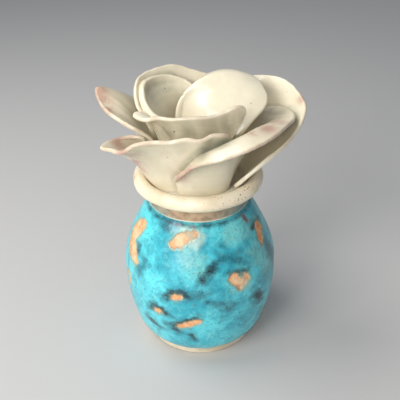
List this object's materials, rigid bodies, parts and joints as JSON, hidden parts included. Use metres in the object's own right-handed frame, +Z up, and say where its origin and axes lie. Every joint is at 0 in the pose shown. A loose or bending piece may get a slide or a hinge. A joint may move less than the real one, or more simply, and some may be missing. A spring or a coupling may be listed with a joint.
{
  "type": "bud vase with flower stopper",
  "caption": "Small round-bodied ceramic bud vase with a glazed belly, a rolled lip and a lift-out porcelain rose set in its mouth.",
  "frame": {"origin": "centre of the foot, on the surface the vase stands on", "axes": "+Z up along the vase's axis; the flower's open side, the vase's front, faces -Y; the longest petal reaches towards +X"},
  "size_m": [0.0922, 0.074, 0.1327],
  "materials": {
    "stoneware": "bare cream stoneware",
    "turquoise_glaze": "mottled turquoise glaze, crawled to bare clay in patches",
    "cream_slip": "cream slip over stoneware, satin",
    "bare_porcelain": "unglazed porcelain",
    "petal_glaze": "glossy cream glaze with pink blush at some rims"
  },
  "bodies": {
    "vase": {"vase_body": "stoneware", "glaze_coat": "turquoise_glaze", "neck_ring": "cream_slip"},
    "flower": {"stopper_plug": "bare_porcelain", "flower_core": "bare_porcelain", "bud_petal": "petal_glaze", "inner_left_petal": "petal_glaze", "front_inner_petal": "petal_glaze", "back_left_petal": "petal_glaze", "left_petal": "petal_glaze", "front_left_petal": "petal_glaze", "front_right_petal": "petal_glaze", "right_petal": "petal_glaze"}
  },
  "joints": [
    {"name": "flower_lift", "type": "slide", "parent": "vase", "child": "flower", "axis": [0, 0, 1], "range_m": [0, 0.05]}
  ]
}
